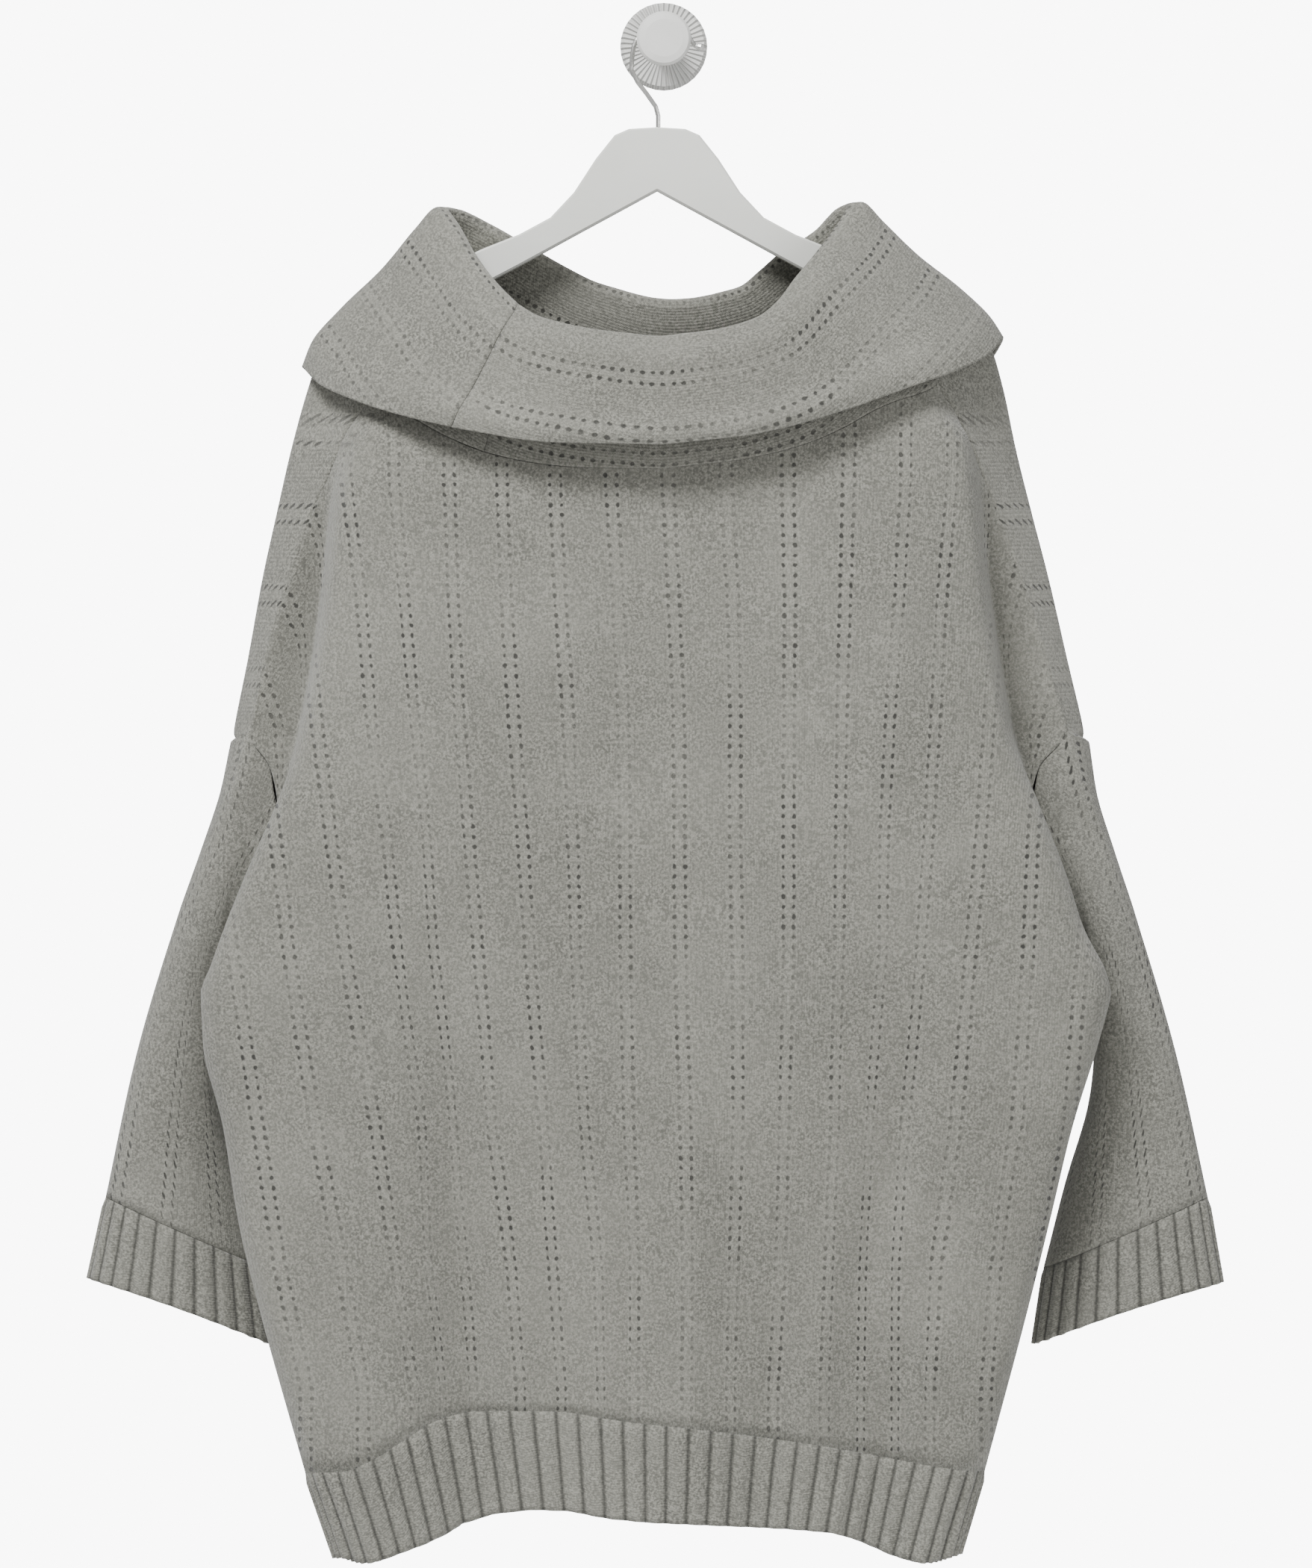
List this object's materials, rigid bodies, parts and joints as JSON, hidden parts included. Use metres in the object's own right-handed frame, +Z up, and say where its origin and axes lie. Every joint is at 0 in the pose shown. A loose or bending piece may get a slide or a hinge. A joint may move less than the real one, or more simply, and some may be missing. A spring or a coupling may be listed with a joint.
{
  "type": "ribbed sweater on a hanger over a wall knob",
  "caption": "Oversized grey marl sweater with a wide fold-over cowl collar, ribbed hem and cuffs, hanging on a flat hanger with a wire hook over a round wall knob.",
  "frame": {"origin": "middle of the wall knob's flat back face, on the wall", "axes": "+Z up; +Y into the wall, so the garment hangs in front of it, towards -Y; +X to the right as seen from the front"},
  "size_m": [0.725, 0.1462, 0.9991],
  "materials": {
    "back_panel": "matt grey marl knit",
    "collar": "matt grey marl knit",
    "cuff_left": "matt grey marl rib knit",
    "cuff_right": "matt grey marl rib knit",
    "front_panel": "matt grey marl knit",
    "hanger_body": "white paint, satin",
    "hanger_hook": "satin wire",
    "hem_rib_back": "matt grey marl rib knit",
    "hem_rib_front": "matt grey marl rib knit",
    "sleeve_left": "matt grey marl knit",
    "sleeve_right": "matt grey marl knit",
    "wall_knob": "white paint, satin"
  },
  "bodies": {
    "root": {"back_panel": "back_panel", "collar": "collar", "cuff_left": "cuff_left", "cuff_right": "cuff_right", "front_panel": "front_panel", "hanger_body": "hanger_body", "hanger_hook": "hanger_hook", "hem_rib_back": "hem_rib_back", "hem_rib_front": "hem_rib_front", "sleeve_left": "sleeve_left", "sleeve_right": "sleeve_right", "wall_knob": "wall_knob"}
  },
  "joints": []
}
